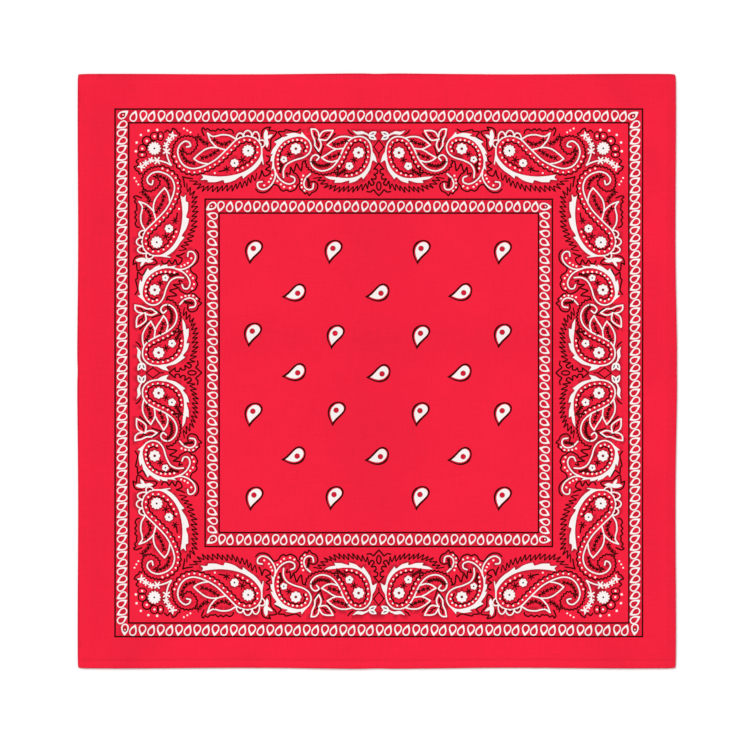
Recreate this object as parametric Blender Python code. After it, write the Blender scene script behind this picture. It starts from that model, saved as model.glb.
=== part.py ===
"""Bandana: a square of printed cotton laid out flat, face up, its four hems turned under.

The panel's outer band lies on the hems, and inside them its underside rests flat. Its face
keeps the soft cross of having been put away folded in four, and shallow ripples at the hems.
Metres. +X is to the right of the cloth, +Y to its top edge and +Z up out of the printed face.
The origin is under the middle of the cloth, on the surface that it lies on.
"""

import math
from collections import namedtuple

import bmesh
import bpy

# The square, between its farthest points
CLOTH_WIDTH = 0.5617
CLOTH_HEIGHT = 0.5576

# Layers
WALL = 0.0010            # least thickness of the panel
HEM_THICKNESS = 0.0010   # the turned-under cloth, pressed flat
SEAM_GAP = 0.0003        # between the panel and the hem under it, and where two hems meet
LEVEL = 0.00145          # usual height of the face inside the hems
HEM_LEVEL = HEM_THICKNESS + SEAM_GAP + WALL + 0.0002
UNDER_LEVEL = HEM_THICKNESS + SEAM_GAP

# How the panel comes down off a hem
HEM_CLEARANCE = 0.0005   # from a hem's inner edge to where the panel starts down
RAMP = 0.0070            # length of the way down
SHOULDER = 0.0008        # width of the rounding at the cloth's edge
SHOULDER_DROP = 0.00035  # how much lower the face is at the very edge
HEM_ROUND = 0.0004       # rounding of a hem's folded edges
EDGE_RELIEF = 0.4        # how much of a fold's height is left where it crosses a hem

# Grid lines
GRID_STEP = 0.017
FOLD_STEPS = (-0.022, -0.013, -0.006, 0.0, 0.006, 0.013, 0.022)
UPRIGHT_FOLD_X = -0.001
CROSS_FOLD_Y = -0.003

# Outline. Along an edge, -1 and 1 are its corners and 0 its middle.
EDGE_WAVE = 0.88         # from the middle to the place near a corner that reaches out again
SWELL_REACH = 0.25
NOTCH_REACH = 0.035
CORNER_PULL = 0.0006
CORNER_REACH = 0.010

Edge = namedtuple("Edge", "hem_width quarter_dip middle_swell fold_notch")
EDGES = {
    "left": Edge(0.0080, 0.00045, 0.00042, 0.00040),
    "right": Edge(0.0065, 0.00050, 0.00105, 0.00015),
    "bottom": Edge(0.0075, 0.00066, 0.00039, 0.00042),
    "top": Edge(0.0060, 0.00044, 0.00044, 0.00043),
}

# Soft ridges (height above 0) and troughs (below 0) of the face, from one end to the other
Fold = namedtuple("Fold", "x0 y0 x1 y1 height half_width")
FOLDS = {
    "upright_top": Fold(0.010, 0.300, 0.006, 0.028, 0.00085, 0.020),
    "upright_bottom": Fold(0.006, 0.028, -0.010, -0.300, 0.00105, 0.024),
    "cross_left": Fold(-0.300, 0.006, 0.000, 0.028, -0.00040, 0.015),
    "cross_right": Fold(0.000, 0.028, 0.300, 0.018, 0.00080, 0.018),
    "left_border": Fold(-0.256, -0.170, -0.259, 0.165, -0.00035, 0.011),
    "right_border_low": Fold(0.248, -0.190, 0.252, -0.050, 0.00045, 0.013),
    "right_border_high": Fold(0.250, 0.000, 0.247, 0.110, 0.00060, 0.014),
    "right_border_top": Fold(0.251, 0.165, 0.246, 0.215, 0.00050, 0.012),
    "corner_top_left": Fold(-0.236, 0.300, -0.196, 0.214, 0.00060, 0.015),
    "corner_top_right": Fold(0.238, 0.300, 0.188, 0.204, 0.00070, 0.017),
    "corner_bottom_left": Fold(-0.240, -0.300, -0.204, -0.206, 0.00065, 0.016),
    "corner_bottom_right": Fold(0.232, -0.300, 0.196, -0.222, 0.00055, 0.015),
    "quarter_top_left": Fold(-0.150, 0.170, -0.070, 0.100, 0.00030, 0.040),
    "quarter_top_right": Fold(0.085, 0.150, 0.165, 0.110, 0.00025, 0.036),
    "quarter_bottom_left": Fold(-0.165, -0.110, -0.080, -0.165, 0.00035, 0.042),
    "quarter_bottom_right": Fold(0.080, -0.095, 0.150, -0.170, 0.00030, 0.038),
}

# Finishes: base colour, roughness
COTTON_RED = ((0.83, 0.030, 0.062, 1.0), 0.86)
HEM_RED = ((0.76, 0.026, 0.054, 1.0), 0.88)


def smooth(value):
    """0 below 0, 1 above 1, and an even curve between."""
    value = min(max(value, 0.0), 1.0)
    return value * value * (3.0 - 2.0 * value)


def raw_inset(edge, along):
    """Inward pull of an edge at a place along it, before its farthest point is set to 0."""
    dip = edge.quarter_dip * 0.5 * (1.0 - math.cos(2.0 * math.pi * along / EDGE_WAVE))
    swell = edge.middle_swell * math.exp(-(along / SWELL_REACH) ** 2)
    notch = edge.fold_notch * math.exp(-(along / NOTCH_REACH) ** 2)
    corner = CORNER_PULL * math.exp(-(1.0 - abs(along)) / CORNER_REACH)
    return dip - swell + notch + corner


FARTHEST = {side: min(raw_inset(edge, step / 200.0) for step in range(-200, 201))
            for side, edge in EDGES.items()}


def inset(side, along):
    """Inward pull of one side's edge, 0 at its farthest point."""
    return raw_inset(EDGES[side], along) - FARTHEST[side]


def place(x, y):
    """Where a point of the straight-sided square lies once its edges have drawn in."""
    across = 2.0 * x / CLOTH_WIDTH
    up = 2.0 * y / CLOTH_HEIGHT
    shift_x = inset("left", up) * (1.0 - across) / 2.0 - inset("right", up) * (1.0 + across) / 2.0
    shift_y = inset("bottom", across) * (1.0 - up) / 2.0 - inset("top", across) * (1.0 + up) / 2.0
    return x + shift_x, y + shift_y


def edge_distances(x, y):
    """Distance to each side of the straight-sided square."""
    return {
        "left": CLOTH_WIDTH / 2.0 + x,
        "right": CLOTH_WIDTH / 2.0 - x,
        "bottom": CLOTH_HEIGHT / 2.0 + y,
        "top": CLOTH_HEIGHT / 2.0 - y,
    }


def on_hem(x, y):
    """1 where the panel lies on a hem, 0 where it rests on the surface, between on the way down."""
    share = 0.0
    for side, distance in edge_distances(x, y).items():
        start = EDGES[side].hem_width + HEM_CLEARANCE
        share = max(share, 1.0 - smooth((distance - start) / RAMP))
    return share


def fold_height(fold, x, y):
    """Height that one fold gives to the face."""
    run_x = fold.x1 - fold.x0
    run_y = fold.y1 - fold.y0
    length = math.hypot(run_x, run_y)
    along = ((x - fold.x0) * run_x + (y - fold.y0) * run_y) / length
    across = ((x - fold.x0) * run_y - (y - fold.y0) * run_x) / length
    start = smooth(0.5 + 0.5 * along / fold.half_width)
    end = smooth(0.5 + 0.5 * (length - along) / fold.half_width)
    return fold.height * start * end * math.exp(-(across / fold.half_width) ** 2)


def face_height(x, y):
    """Height of the printed face."""
    share = on_hem(x, y)
    relief = sum(fold_height(fold, x, y) for fold in FOLDS.values())
    level = LEVEL + (HEM_LEVEL - LEVEL) * share
    nearest = min(edge_distances(x, y).values())
    rounding = SHOULDER_DROP * (1.0 - smooth(nearest / SHOULDER))
    return level + relief * (1.0 - (1.0 - EDGE_RELIEF) * share) - rounding


def stations(length, low_hem, high_hem, fold):
    """Grid lines across the cloth: at its edges, at both ends of each ramp, and at its fold."""
    half = length / 2.0
    low = [-half, -half + SHOULDER, -half + low_hem + HEM_CLEARANCE]
    low.append(low[-1] + RAMP)
    high = [half, half - SHOULDER, half - high_hem - HEM_CLEARANCE]
    high.append(high[-1] - RAMP)
    middle = [fold + step for step in FOLD_STEPS]
    lines = low + even_steps(low[-1], middle[0]) + middle
    return lines + even_steps(middle[-1], high[-1]) + high[::-1]


def even_steps(start, end):
    """Evenly spaced places between two others, which are left out."""
    count = math.ceil((end - start) / GRID_STEP)
    return [start + (end - start) * step / count for step in range(1, count)]


def panel_mesh():
    """The cloth as one wall: the face with its folds over an underside that is flat at rest."""
    columns = stations(CLOTH_WIDTH, EDGES["left"].hem_width, EDGES["right"].hem_width, UPRIGHT_FOLD_X)
    rows = stations(CLOTH_HEIGHT, EDGES["bottom"].hem_width, EDGES["top"].hem_width, CROSS_FOLD_Y)
    mesh = bmesh.new()
    face = []
    under = []
    for y in rows:
        spots = [(place(x, y), x, y) for x in columns]
        face.append([mesh.verts.new((*spot, face_height(x, y))) for spot, x, y in spots])
        under.append([mesh.verts.new((*spot, UNDER_LEVEL * on_hem(x, y))) for spot, x, y in spots])
    for j in range(len(rows) - 1):
        for i in range(len(columns) - 1):
            mesh.faces.new((face[j][i], face[j][i + 1], face[j + 1][i + 1], face[j + 1][i]))
            mesh.faces.new((under[j][i], under[j + 1][i], under[j + 1][i + 1], under[j][i + 1]))
    top_rim = rim(face)
    low_rim = rim(under)
    for k, vertex in enumerate(top_rim):
        following = (k + 1) % len(top_rim)
        mesh.faces.new((vertex, low_rim[k], low_rim[following], top_rim[following]))
    return mesh


def rim(grid):
    """A grid's outer vertices, anticlockwise from its lowest corner."""
    bottom = grid[0][:-1]
    right = [row[-1] for row in grid[:-1]]
    top = grid[-1][:0:-1]
    left = [row[0] for row in grid[:0:-1]]
    return bottom + right + top + left


def hem_section(width):
    """A flattened tube, as (distance from the cloth's edge, height), once round."""
    middle = HEM_THICKNESS / 2.0
    return [
        (HEM_ROUND, 0.0),
        (width - HEM_ROUND, 0.0),
        (width, middle),
        (width - HEM_ROUND, HEM_THICKNESS),
        (HEM_ROUND, HEM_THICKNESS),
        (0.0, middle),
    ]


def hem_point(side, along, distance):
    """Place of a point of a hem, from its place along the side and distance from the edge."""
    if side == "left":
        return place(-CLOTH_WIDTH / 2.0 + distance, along)
    if side == "right":
        return place(CLOTH_WIDTH / 2.0 - distance, along)
    if side == "bottom":
        return place(along, -CLOTH_HEIGHT / 2.0 + distance)
    return place(along, CLOTH_HEIGHT / 2.0 - distance)


def hem_mesh(side, lines):
    """A turned-under hem: its flat section carried along the side's edge."""
    mesh = bmesh.new()
    section = hem_section(EDGES[side].hem_width)
    loops = []
    for along in lines:
        loops.append([mesh.verts.new((*hem_point(side, along, d), z)) for d, z in section])
    for loop, following in zip(loops, loops[1:]):
        for k in range(len(section)):
            n = (k + 1) % len(section)
            mesh.faces.new((loop[k], loop[n], following[n], following[k]))
    mesh.faces.new(loops[0][::-1])
    mesh.faces.new(loops[-1])
    bmesh.ops.recalc_face_normals(mesh, faces=mesh.faces)
    return mesh


def hem_lines(side):
    """Stations along a hem: top and bottom run corner to corner, the others fit between them."""
    if side in ("top", "bottom"):
        return stations(CLOTH_WIDTH, EDGES["left"].hem_width, EDGES["right"].hem_width, UPRIGHT_FOLD_X)
    low_end = -CLOTH_HEIGHT / 2.0 + EDGES["bottom"].hem_width + SEAM_GAP
    high_end = CLOTH_HEIGHT / 2.0 - EDGES["top"].hem_width - SEAM_GAP
    inner = stations(CLOTH_HEIGHT, EDGES["bottom"].hem_width, EDGES["top"].hem_width, CROSS_FOLD_Y)
    return [low_end] + [y for y in inner if low_end < y < high_end] + [high_end]


def cotton(name, finish):
    """A dull dyed cotton."""
    colour, roughness = finish
    material = bpy.data.materials.new(name)
    material.use_nodes = True
    shader = material.node_tree.nodes["Principled BSDF"]
    shader.inputs["Base Color"].default_value = colour
    shader.inputs["Roughness"].default_value = roughness
    shader.inputs["Metallic"].default_value = 0.0
    material.diffuse_color = colour
    return material


def add_object(name, mesh, origin, material, parent):
    """A named object from a mesh in the part's frame, with its own origin."""
    bmesh.ops.translate(mesh, verts=mesh.verts, vec=[-value for value in origin])
    data = bpy.data.meshes.new(name)
    mesh.to_mesh(data)
    mesh.free()
    data.shade_smooth()
    data.set_sharp_from_angle(angle=math.radians(30.0))
    data.materials.append(material)
    item = bpy.data.objects.new(name, data)
    item.location = origin
    item.parent = parent
    bpy.context.collection.objects.link(item)
    return item


def main():
    """Clear the scene and make the bandana."""
    for item in list(bpy.data.objects):
        bpy.data.objects.remove(item)
    bandana = bpy.data.objects.new("bandana", None)
    bpy.context.collection.objects.link(bandana)
    add_object("panel", panel_mesh(), (0.0, 0.0, 0.0), cotton("cotton_red", COTTON_RED), bandana)
    hem_red = cotton("hem_red", HEM_RED)
    for side in EDGES:
        origin = (*hem_point(side, 0.0, 0.0), 0.0)
        add_object("hem_" + side, hem_mesh(side, hem_lines(side)), origin, hem_red, bandana)


main()
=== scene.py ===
"""A printed cotton bandana laid out flat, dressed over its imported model.

The cloth's form is in metres, apart from its two tables of bands. The print is drawn flat, in
millimetres, as outlines of complex numbers. The points of the band's motifs are s + tj: s runs
along a side from the band's outer corner and t inwards from its outer frame. Half a side is drawn,
and its turned and mirrored copies make the band.
"""
import math
from collections import namedtuple

import bpy
import numpy as np
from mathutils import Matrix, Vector
from mathutils.geometry import delaunay_2d_cdt


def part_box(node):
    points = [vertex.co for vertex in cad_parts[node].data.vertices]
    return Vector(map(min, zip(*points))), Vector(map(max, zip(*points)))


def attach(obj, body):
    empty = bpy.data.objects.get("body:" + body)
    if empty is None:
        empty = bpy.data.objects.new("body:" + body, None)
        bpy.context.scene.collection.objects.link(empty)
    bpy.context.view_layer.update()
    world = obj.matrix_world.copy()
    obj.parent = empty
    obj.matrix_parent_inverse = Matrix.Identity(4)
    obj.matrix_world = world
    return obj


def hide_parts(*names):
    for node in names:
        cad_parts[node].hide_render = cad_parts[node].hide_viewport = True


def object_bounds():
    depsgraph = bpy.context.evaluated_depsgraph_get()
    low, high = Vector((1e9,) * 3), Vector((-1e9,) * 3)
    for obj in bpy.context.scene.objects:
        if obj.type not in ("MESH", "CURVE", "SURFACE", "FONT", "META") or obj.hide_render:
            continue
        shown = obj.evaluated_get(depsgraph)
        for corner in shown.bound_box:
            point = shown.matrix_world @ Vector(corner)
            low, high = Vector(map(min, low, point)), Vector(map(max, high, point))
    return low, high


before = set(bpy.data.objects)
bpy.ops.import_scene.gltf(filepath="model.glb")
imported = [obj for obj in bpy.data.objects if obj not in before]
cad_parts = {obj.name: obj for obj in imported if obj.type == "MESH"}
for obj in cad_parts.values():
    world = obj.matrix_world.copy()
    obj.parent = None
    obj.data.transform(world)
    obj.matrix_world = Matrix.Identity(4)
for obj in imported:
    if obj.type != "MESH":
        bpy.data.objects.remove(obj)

CAD_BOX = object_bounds()
PANEL_LOW, PANEL_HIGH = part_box("panel")
MM = 0.001

# ---------------------------------------------------------------- the cloth's form, in metres
# The square between its farthest points, and the height of its face inside the hems
CLOTH_WIDTH = PANEL_HIGH.x - PANEL_LOW.x
CLOTH_HEIGHT = PANEL_HIGH.y - PANEL_LOW.y
LEVEL = 0.00145
HEM_LEVEL = 0.00250
UNDER_LEVEL = 0.00005    # the underside where the cloth rests
UNDER_HEM_LEVEL = 0.00140

# How the cloth comes down off a hem
HEM_CLEARANCE = 0.0005
EDGE_RELIEF = 0.4        # how much of a fold's height is left where it crosses a hem
EDGE_HOLD = 0.010        # the edge's own wave goes this far in unchanged
EDGE_FADE = 0.024        # and dies out over this much more

# Outline. Along an edge, -1 and 1 are its corners and 0 its middle.
EDGE_WAVE = 0.88
SWELL_REACH = 0.25
NOTCH_REACH = 0.035
CORNER_PULL = 0.0006
CORNER_REACH = 0.010
EDGE_SAMPLES = 401       # places along an edge where its farthest point is looked for

Edge = namedtuple("Edge", "hem_width quarter_dip middle_swell fold_notch ramp groove")
EDGES = {
    "left": Edge(0.0080, 0.00045, 0.00042, 0.00040, 0.026, 0.00010),
    "right": Edge(0.0065, 0.00050, 0.00105, 0.00015, 0.009, 0.00006),
    "bottom": Edge(0.0075, 0.00066, 0.00039, 0.00042, 0.030, 0.00036),
    "top": Edge(0.0060, 0.00044, 0.00044, 0.00043, 0.036, 0.00018),
}
UPRIGHT = ("left", "right")

# Bands, each a row of numbers in millimetres: x and y of its start, x and y of its end, amount
# and half-width. The folds' amounts are heights: ridges above 0 and troughs below it.
FOLDS = [
    (-30, 300, -34, 28, 0.65, 34),           # upright fold, top half
    (34, 300, 30, 28, -0.4, 34),
    (-34, 28, -36, -300, 0.8, 38),           # upright fold, bottom half
    (30, 28, 28, -300, -0.45, 36),
    (-300, 46, 0, 46, 0.3, 18),              # cross fold, left half
    (-300, 8, 0, 10, -0.4, 16),
    (0, 46, 300, 46, 0.6, 20),               # cross fold, right half
    (0, 10, 300, 8, -0.3, 18),
    (-240, -170, -240, 165, -0.3, 14),       # along the left border
    (238, -190, 240, -50, 0.45, 14),         # along the right border
    (240, 0, 238, 110, 0.6, 14),
    (244, 165, 240, 215, 0.5, 12),
    (-236, 300, -196, 214, 0.6, 15),         # corners
    (238, 300, 188, 204, 0.7, 17),
    (-240, -300, -204, -206, 0.65, 16),
    (232, -300, 196, -222, 0.55, 15),
    (-150, 170, -70, 100, 0.3, 40),          # quarters
    (85, 150, 165, 110, 0.25, 36),
    (-165, -110, -80, -165, 0.35, 42),
    (80, -95, 150, -170, 0.3, 38),
]

# Painted shade and light: bands where the cloth's colour is made darker (below 0) or lighter (above 0) to
# stand for the shading of its folds, borders, corners, hems and edges; the amounts are thousandths of its
# colour
PAINTED_SHADES = [
    (-12, 300, -10, 170, -25, 18),           # upright fold, from the top down
    (-2, 165, 0, 85, -44, 50),
    (-4, 85, -4, 0, -14, 28),
    (0, 0, 0, -105, -50, 50),
    (0, -105, 2, -165, -30, 28),
    (-28, -200, -28, -300, -25, 16),
    (-165, 32, 175, 30, -32, 22),            # cross fold
    (-261, 228, -261, -235, -28, 15),        # along the left border
    (258, 250, 258, -90, 24, 13),            # along the right border
    (257, 208, 259, 172, -50, 10),
    (259, 108, 259, -12, -55, 11),
    (259, -100, 259, -205, -34, 11),
    (-229, 289, -253, 226, -44, 17),         # corners
    (-262, 277, -212, 277, -32, 12),
    (200, 277, 260, 277, -30, 10),
    (-260, -258, -195, -258, -30, 16),
    (234, -258, 250, -258, -45, 12),
    (205, 289, 243, 245, -60, 13),
    (-222, -233, -241, -289, -80, 16),
    (209, -238, 232, -289, -68, 17),
    (262, -235, 262, -285, -40, 12),
    (-260, 256, 260, 256, 30, 30),           # top and bottom borders
    (-260, -256, 260, -256, 20, 30),
    (-279, -280, -279, 280, 15, 6),          # painted light and shade on the hems
    (276, -280, 276, 280, -46, 10),
    (-280, -277, 280, -277, 18, 5),
    (-280.3, -280, -280.3, 280, -360, 1.1),  # and painted shade along the left and top outer folds
    (-280, 278.3, 280, 278.3, -340, 1.1),
]

# Slight unevenness of the whole cloth: travelling ripples, each with its own heading
Ripple = namedtuple("Ripple", "degrees wavelength height phase")
RIPPLES = [
    Ripple(12.0, 0.118, 0.00010, 0.6),
    Ripple(77.0, 0.131, 0.00010, 2.1),
    Ripple(-38.0, 0.083, 0.00006, 4.0),
    Ripple(51.0, 0.059, 0.00004, 1.3),
]

# Seams: a row of stitches near each hem's inner edge draws the cloth into a groove and puckers it
SEAM_FROM_FOLD = 0.0011
GROOVE_WIDTH = 0.00065
PUCKER_HEIGHT = 0.00011
PUCKER_REACH = 0.0042
PUCKER_WAVES = [(0.0123, 0.4, 0.55), (0.0097, 2.0, 0.3), (0.0196, 5.1, 0.5)]  # length, phase, share
PUCKER_TURN = 1.7        # of the phases from one side to the next

# The turned edge: the cloth rolls over its hem and a lip of it shows underneath
ROLL_RADIUS = 0.00065
ROLL_ANGLES = (62.0, 28.0, -8.0, -46.0, -90.0)
LIP_REACH = 0.0015
LIP_LOW = 0.00020
LIP_HIGH = 0.00065
INNER_ROLL = (0.00058, 0.00100)      # how far in and how high the roll's inside is
UNDER_START = 0.00130

# Hems: two turned layers with a fold at the inner edge
HEM_START = 0.00158
HEM_LOW = 0.00022
HEM_HIGH = 0.00118
LAYER_GAP = 0.00008
HEM_STEP = 0.0032
SIDE_HEM_GAP = 0.0003
HEM_WANDER = 0.00014     # how far a hem's inner fold strays from straight

# Stitches
STITCH = 0.0026
STITCH_GAP = 0.0005
SEAM_END = 0.0022        # from a corner to a seam's first stitch
THREAD_RADIUS = 0.00018
THREAD_SIDES = 6
STITCH_STEPS = np.array([0.0, 0.12, 0.5, 0.88, 1.0])           # rings of points along a stitch,
STITCH_SWELL = np.array([0.55, 0.95, 1.0, 0.95, 0.55])         # how thick it is at each, and how high
STITCH_ABOVE = np.array([-0.9, 0.3, 0.7, 0.3, -0.9])           # over the face
STITCH_BELOW = np.array([0.9, 0.15, 0.0, 0.15, 0.9])           # and under the hem, in thread radii


def smooth(value):
    """0 below 0, 1 above 1, and an even curve between."""
    value = np.clip(value, 0.0, 1.0)
    return value * value * (3.0 - 2.0 * value)


def raw_inset(edge, along):
    """Inward pull of an edge at a place along it, before its farthest point is set to 0."""
    dip = edge.quarter_dip * 0.5 * (1.0 - np.cos(math.tau * along / EDGE_WAVE))
    swell = edge.middle_swell * np.exp(-(along / SWELL_REACH) ** 2)
    notch = edge.fold_notch * np.exp(-(along / NOTCH_REACH) ** 2)
    corner = CORNER_PULL * np.exp(-(1.0 - np.abs(along)) / CORNER_REACH)
    return dip - swell + notch + corner


FARTHEST = {side: raw_inset(edge, np.linspace(-1.0, 1.0, EDGE_SAMPLES)).min()
            for side, edge in EDGES.items()}


def edge_distances(x, y):
    """Distance to each side of the straight-sided square."""
    return {
        "left": CLOTH_WIDTH / 2.0 + x,
        "right": CLOTH_WIDTH / 2.0 - x,
        "bottom": CLOTH_HEIGHT / 2.0 + y,
        "top": CLOTH_HEIGHT / 2.0 - y,
    }


def place(x, y):
    """Where points of the straight-sided square lie once its edges have drawn in."""
    pull = {}
    for side, distance in edge_distances(x, y).items():
        along = 2.0 * y / CLOTH_HEIGHT if side in UPRIGHT else 2.0 * x / CLOTH_WIDTH
        inset = raw_inset(EDGES[side], along) - FARTHEST[side]
        pull[side] = inset * (1.0 - smooth((distance - EDGE_HOLD) / EDGE_FADE))
    return x + pull["left"] - pull["right"], y + pull["bottom"] - pull["top"]


def on_hem(x, y):
    """1 where the cloth lies on a hem, 0 where it rests on the surface, between on the way down."""
    share = np.zeros_like(x)
    for side, distance in edge_distances(x, y).items():
        start = EDGES[side].hem_width + HEM_CLEARANCE
        share = np.maximum(share, 1.0 - smooth((distance - start) / EDGES[side].ramp))
    return share


def band_amount(band, x, y):
    """What one band gives at some places: a long soft bump, or dip."""
    x0, y0, x1, y1, amount, half_width = np.multiply(band, MM)
    run_x = x1 - x0
    run_y = y1 - y0
    length = math.hypot(run_x, run_y)
    along = ((x - x0) * run_x + (y - y0) * run_y) / length
    across = ((x - x0) * run_y - (y - y0) * run_x) / length
    start = smooth(0.5 + 0.5 * along / half_width)
    end = smooth(0.5 + 0.5 * (length - along) / half_width)
    return amount * start * end * np.exp(-(across / half_width) ** 2)


def ripple_height(ripple, x, y):
    """Height of one travelling ripple."""
    heading = math.radians(ripple.degrees)
    travel = (x * math.cos(heading) + y * math.sin(heading)) / ripple.wavelength
    return ripple.height * np.sin(math.tau * travel + ripple.phase)


def seam_distance(side):
    """How far in from its edge a side's stitches run."""
    return EDGES[side].hem_width - SEAM_FROM_FOLD


def pucker(side, along):
    """Rise and fall of the cloth along a seam, from -1 to 1 or so."""
    turn = PUCKER_TURN * list(EDGES).index(side)
    return sum(share * np.sin(math.tau * along / length + phase + turn)
               for length, phase, share in PUCKER_WAVES)


def seam_height(x, y):
    """The groove and puckers that the stitches give to the face."""
    height = np.zeros_like(x)
    for side, distance in edge_distances(x, y).items():
        along = y if side in UPRIGHT else x
        away = distance - seam_distance(side)
        height -= EDGES[side].groove * np.exp(-(away / GROOVE_WIDTH) ** 2)
        height += PUCKER_HEIGHT * pucker(side, along) * np.exp(-(away / PUCKER_REACH) ** 2)
    return height


def face_height(x, y):
    """Height of the printed face, away from the rolled edge."""
    share = on_hem(x, y)
    relief = sum(band_amount(fold, x, y) for fold in FOLDS)
    relief += sum(ripple_height(ripple, x, y) for ripple in RIPPLES)
    level = LEVEL + (HEM_LEVEL - LEVEL) * share
    return level + relief * (1.0 - (1.0 - EDGE_RELIEF) * share) + seam_height(x, y)


def under_height(x, y):
    """Height of the cloth's underside, away from the rolled edge."""
    return UNDER_LEVEL + (UNDER_HEM_LEVEL - UNDER_LEVEL) * on_hem(x, y)


def straight_point(side, along, distance):
    """Points of the straight-sided square, from their places along a side and distances from it."""
    inward = distance - (CLOTH_WIDTH if side in UPRIGHT else CLOTH_HEIGHT) / 2.0
    out = -inward if side in ("right", "top") else inward
    return (out, along) if side in UPRIGHT else (along, out)


def hem_point(side, along, distance):
    """The same points once the edges have drawn in."""
    return place(*np.broadcast_arrays(*straight_point(side, along, distance)))


# ---------------------------------------------------------------- the print, in millimetres
WHITE = "white"
BLACK = "black"
RED = "red"
INKS = (RED, WHITE, BLACK)      # in the order of the cloth's materials

PRINT_MIDDLE = 1.63 - 1.67j     # where it lies on the cloth
OUTER_FRAME = 247.0
BAND_FRAME = 234.2
BAND_CORNER = 234.0
BAND_MIDDLE = 234.03            # of a side, from the band's corner
INNER_FRAME = 162.6
FIELD_FRAME = 149.6
FRAME_STEP = 9.6

# Widths of the drawn lines
LINES = {WHITE: 1.3, BLACK: 1.45}
FRAME_LINE = 1.5
FINE_LINE = 1.15
RIBBON_LINE = 1.15
CORNER_LINE = 1.3
CIRCLE_LINE = 1.2
SPRIG_LINE = 1.35
VEIN_LINE = 1.3
TICK_LINE = 1.1
LACE_LINE = 0.9 * LINES[WHITE]
LACE_TICK_LINE = 0.8 * LINES[BLACK]

# How smooth lines are made and thinned
CURVE_STEP = 0.8
GUIDE_STEP = 1.2
WAVE_POINTS = 12.0              # to one wave or arch
TAPER = 7.0                     # how far from its end a line starts to narrow
CAP_POINTS = 6                  # to a line's round end, with the two where it starts and stops
RING_POINTS = 24
ARC_POINTS = 20
LOOP_POINTS = 15                # to half an oval of lace
PETAL_POINTS = 8
TOLERANCE = 0.11

# Radii of dots
BEAD = 0.86
LARGE_BEAD = 0.95
PEARL = 1.0
LARGE_PEARL = 1.15
HEART = 0.55

# Ferns: a spine with a cross at each node, whose size comes and goes along it
LEAF_PITCH = 4.7
LEAF_BARB = 2.2
BARB_LEANS = (1.05, -0.85)
BARB_SIZE = 0.9
BARB_SWING = 0.25
BARB_STEP = 2.4
BARB_START = 1.2

BLADE_SHARE = 0.16              # each blade of three is shorter than the last by this share
TICK_REACH = 0.5                # of the dark tick inside a lace loop, against the loop
TICK_BASE = 0.15
TICK_RISE = 0.32
DROP_TIP = 3.4                  # a tear-drop's tip closes over this many line widths
# Places from its tip to its round end, as shares of its length
DROP_STEPS = np.concatenate([np.linspace(0.0, 0.85, 9), 1.0 - np.linspace(0.38, 0.0, 7) ** 2])
TIP_POWER = 0.9                 # how fast it widens from its tip

Shape = namedtuple("Shape", "ink loops")


def walked(line):
    """How far along a line each of its points is."""
    return np.concatenate([[0.0], np.cumsum(np.abs(np.diff(line)))])


def whole(line):
    """A line's length."""
    return np.abs(np.diff(line)).sum()


def resample(line, spacing):
    """The same line with evenly spaced points."""
    way = walked(line)
    stops = np.linspace(0.0, way[-1], max(2, int(round(way[-1] / spacing)) + 1))
    return np.interp(stops, way, line.real) + 1j * np.interp(stops, way, line.imag)


def curve(table):
    """A smooth line through a table of points: a centripetal Catmull-Rom spline."""
    knots = np.array(table, complex)
    knots = np.concatenate([[2 * knots[0] - knots[1]], knots, [2 * knots[-1] - knots[-2]]])
    runs = []
    for a, b, c, d in zip(knots, knots[1:], knots[2:], knots[3:]):
        t1 = math.sqrt(abs(b - a))
        t2 = t1 + math.sqrt(abs(c - b))
        t3 = t2 + math.sqrt(abs(d - c))
        t = np.linspace(t1, t2, 2 + int(abs(c - b) / CURVE_STEP), endpoint=False)
        ab = (a * (t1 - t) + b * t) / t1
        bc = (b * (t2 - t) + c * (t - t1)) / (t2 - t1)
        cd = (c * (t3 - t) + d * (t - t2)) / (t3 - t2)
        abc = (ab * (t2 - t) + bc * t) / t2
        bcd = (bc * (t3 - t) + cd * (t - t1)) / (t3 - t1)
        runs.append((abc * (t2 - t) + bcd * (t - t1)) / (t2 - t1))
    return np.concatenate(runs + [knots[-2:-1]])


def normals(line):
    """Unit steps to the right-hand side of travel."""
    tangent = np.gradient(line)
    return 1j * tangent / np.maximum(np.abs(tangent), 1e-9)


def thin(line, tolerance):
    """The fewest of a line's points that keep it within a tolerance."""
    keep = np.zeros(len(line), bool)
    keep[[0, -1]] = True
    spans = [(0, len(line) - 1)]
    while spans:
        first, last = spans.pop()
        if last - first < 2:
            continue
        inner = line[first + 1:last] - line[first]
        chord = line[last] - line[first]
        if abs(chord) < 1e-6:
            away = np.abs(inner)
        else:
            share = np.clip((inner * np.conj(chord)).real / abs(chord) ** 2, 0.0, 1.0)
            away = np.abs(inner - share * chord)
        worst = int(np.argmax(away))
        if away[worst] > tolerance:
            middle = first + 1 + worst
            keep[middle] = True
            spans += [(first, middle), (middle, last)]
    return line[keep]


def close(line, tolerance=TOLERANCE):
    """A closed outline without needless points."""
    half = len(line) // 2
    first = thin(line[:half + 1], tolerance)
    return np.concatenate([first, thin(np.append(line[half:], line[0]), tolerance)[1:-1]])


def changed(shapes, change):
    """The shapes with each of their outlines changed by a function."""
    return [Shape(shape.ink, [change(loop) for loop in shape.loops]) for shape in shapes]


def stroke(ink, line, width, end=1.0):
    """A drawn line with round ends; end is its width at its end, as a share of width."""
    way = walked(line)
    taper = min(TAPER, way[-1] / 2.0)
    half = 0.5 * width * np.interp(way[-1] - way, [0.0, taper], [end, 1.0])
    right = normals(line)
    turn = np.exp(1j * np.linspace(0.0, math.pi, CAP_POINTS)[1:-1])
    end_cap = line[-1] + half[-1] * right[-1] / turn
    start_cap = line[0] - half[0] * right[0] / turn
    loop = np.concatenate([line + half * right, end_cap, (line - half * right)[::-1], start_cap])
    return [Shape(ink, [close(loop)])]


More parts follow.
